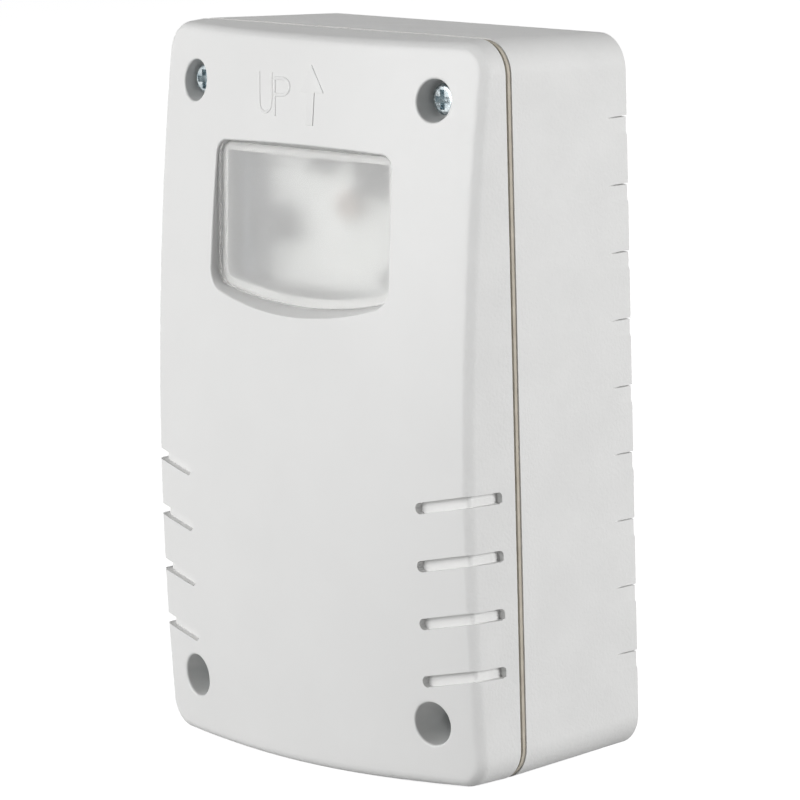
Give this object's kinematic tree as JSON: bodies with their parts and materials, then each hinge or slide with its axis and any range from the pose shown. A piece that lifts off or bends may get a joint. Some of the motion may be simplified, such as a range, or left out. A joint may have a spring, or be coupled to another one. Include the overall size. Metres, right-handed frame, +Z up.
{
  "type": "automatic coop door opener",
  "caption": "Light grey wall box that winds a hoist cord to open and close a poultry pop-hole door, with a clear window, cover screws, geared drum, cells and board",
  "frame": {"origin": "centre of the flat wall face", "axes": "+X to the right seen from the front, +Y into the wall, +Z up along the height"},
  "size_m": [0.0784, 0.041, 0.121],
  "materials": {
    "housing_plastic": "light grey ABS, fine spark-eroded grain",
    "lens_plastic": "clear polycarbonate, slightly hazy",
    "seal_rubber": "cream foam rubber cord",
    "zinc_screw": "zinc plated, bluish passivated",
    "steel": "turned steel, ground",
    "plate_steel": "zinc coated sheet",
    "brass": "turned brass",
    "gear_plastic": "natural white acetal",
    "drum_plastic": "black glass filled nylon",
    "black_plastic": "black moulded plastic",
    "grey_plastic": "dark grey moulded plastic",
    "motor_steel": "nickel plated deep drawn can",
    "rotor_steel": "stacked laminations",
    "magnet_ferrite": "dull sintered ferrite",
    "nickel_strip": "nickel plated spring strip",
    "cell_sleeve": "plain sleeve over a metal can",
    "board_laminate": "white solder mask on glass laminate",
    "chip_epoxy": "black epoxy",
    "resistor_ceramic": "ceramic chips with a dark glaze",
    "capacitor_can": "dark sleeve on an aluminium can",
    "sensor_resin": "clear resin over a light cell",
    "led_resin": "tinted clear resin",
    "button_plastic": "red moulded plastic",
    "dial_plastic": "white moulded plastic",
    "tin_pins": "tinned",
    "red_insulation": "red PVC insulation",
    "black_insulation": "black PVC insulation"
  },
  "bodies": {
    "housing": {"back_housing": "housing_plastic", "cover_seal": "seal_rubber", "cord_eyelet": "black_plastic", "gear_plate": "plate_steel", "gear_plate_screws": "zinc_screw", "drum_bushes": "brass", "second_axle": "steel", "first_axle": "steel", "motor_can": "motor_steel", "motor_magnets": "magnet_ferrite", "motor_end_cap": "black_plastic", "motor_tags": "tin_pins", "motor_screws": "zinc_screw", "slack_switch": "black_plastic", "slack_pin": "steel", "slack_switch_screws": "zinc_screw", "battery_tray": "grey_plastic", "tray_screws": "zinc_screw", "cell_contacts": "nickel_strip", "aa_cell_1": "cell_sleeve", "aa_cell_2": "cell_sleeve", "aa_cell_3": "cell_sleeve", "aa_cell_4": "cell_sleeve", "circuit_board": "board_laminate", "board_screws": "zinc_screw", "terminal_strip": "black_plastic", "terminal_screws": "zinc_screw", "capacitor": "capacitor_can", "light_sensor": "sensor_resin", "status_led": "led_resin", "microcontroller": "chip_epoxy", "motor_driver": "chip_epoxy", "chip_resistors": "resistor_ceramic", "button_housing": "black_plastic", "trimmer_housing": "black_plastic", "power_switch": "grey_plastic", "battery_header": "dial_plastic", "header_pins": "tin_pins", "red_leads": "red_insulation", "black_leads": "black_insulation"},
    "cover": {"front_cover": "housing_plastic", "window_lens": "lens_plastic", "cover_screws": "zinc_screw"},
    "drum": {"cord_drum": "drum_plastic", "drum_shaft": "steel", "drum_gear": "gear_plastic", "drum_clip": "steel"},
    "second_wheel": {"second_gear": "gear_plastic"},
    "first_wheel": {"first_gear": "gear_plastic"},
    "rotor": {"motor_rotor": "rotor_steel", "motor_shaft": "steel", "motor_pinion": "brass"},
    "button": {"manual_button": "button_plastic"},
    "dial": {"trimmer_dial": "dial_plastic"},
    "knob": {"power_knob": "black_plastic"},
    "lever": {"slack_lever": "steel"},
    "plunger": {"slack_plunger": "button_plastic"}
  },
  "joints": [
    {"name": "cover_lift", "type": "slide", "parent": "housing", "child": "cover", "axis": [0, -1, 0], "range_m": [0, 0.06]},
    {"name": "motor_spin", "type": "hinge", "parent": "housing", "child": "rotor", "pos_m": [0.02252, -0.015, 0.01172], "axis": [0, -1, 0], "continuous": true},
    {"name": "first_gear_spin", "type": "hinge", "parent": "housing", "child": "first_wheel", "pos_m": [0.01543, -0.03, 0.00023], "axis": [0, -1, 0], "continuous": true},
    {"name": "second_gear_spin", "type": "hinge", "parent": "housing", "child": "second_wheel", "pos_m": [0.01777, -0.028, -0.01306], "axis": [0, -1, 0], "continuous": true},
    {"name": "drum_spin", "type": "hinge", "parent": "housing", "child": "drum", "pos_m": [0.0135, -0.0156, -0.029], "axis": [0, -1, 0], "continuous": true},
    {"name": "manual_button_press", "type": "slide", "parent": "housing", "child": "button", "axis": [0, 1, 0], "range_m": [0, 0.0003], "stiffness_N_per_m": 500, "springref_m": -0.001},
    {"name": "light_level_dial", "type": "hinge", "parent": "housing", "child": "dial", "pos_m": [0.028, -0.03, 0.0342], "axis": [0, -1, 0], "range_deg": [-135, 135]},
    {"name": "power_slide", "type": "slide", "parent": "housing", "child": "knob", "axis": [0, 0, 1], "range_m": [0, 0.002]},
    {"name": "slack_lever_swing", "type": "hinge", "parent": "housing", "child": "lever", "pos_m": [0.0202, -0.0156, -0.0442], "axis": [0, -1, 0], "range_deg": [0, 8], "stiffness_Nm_per_rad": 0.02, "springref_deg": -5.73},
    {"name": "slack_plunger_travel", "type": "slide", "parent": "housing", "child": "plunger", "axis": [0, 0, -1], "range_m": [0, 0.00105]}
  ],
  "couplings": [
    {"joint": "first_gear_spin", "follows": "motor_spin", "ratio": -0.28571},
    {"joint": "second_gear_spin", "follows": "motor_spin", "ratio": 0.081633},
    {"joint": "drum_spin", "follows": "motor_spin", "ratio": -0.018141},
    {"joint": "slack_plunger_travel", "follows": "slack_lever_swing", "m_per_rad": 0.0074}
  ]
}
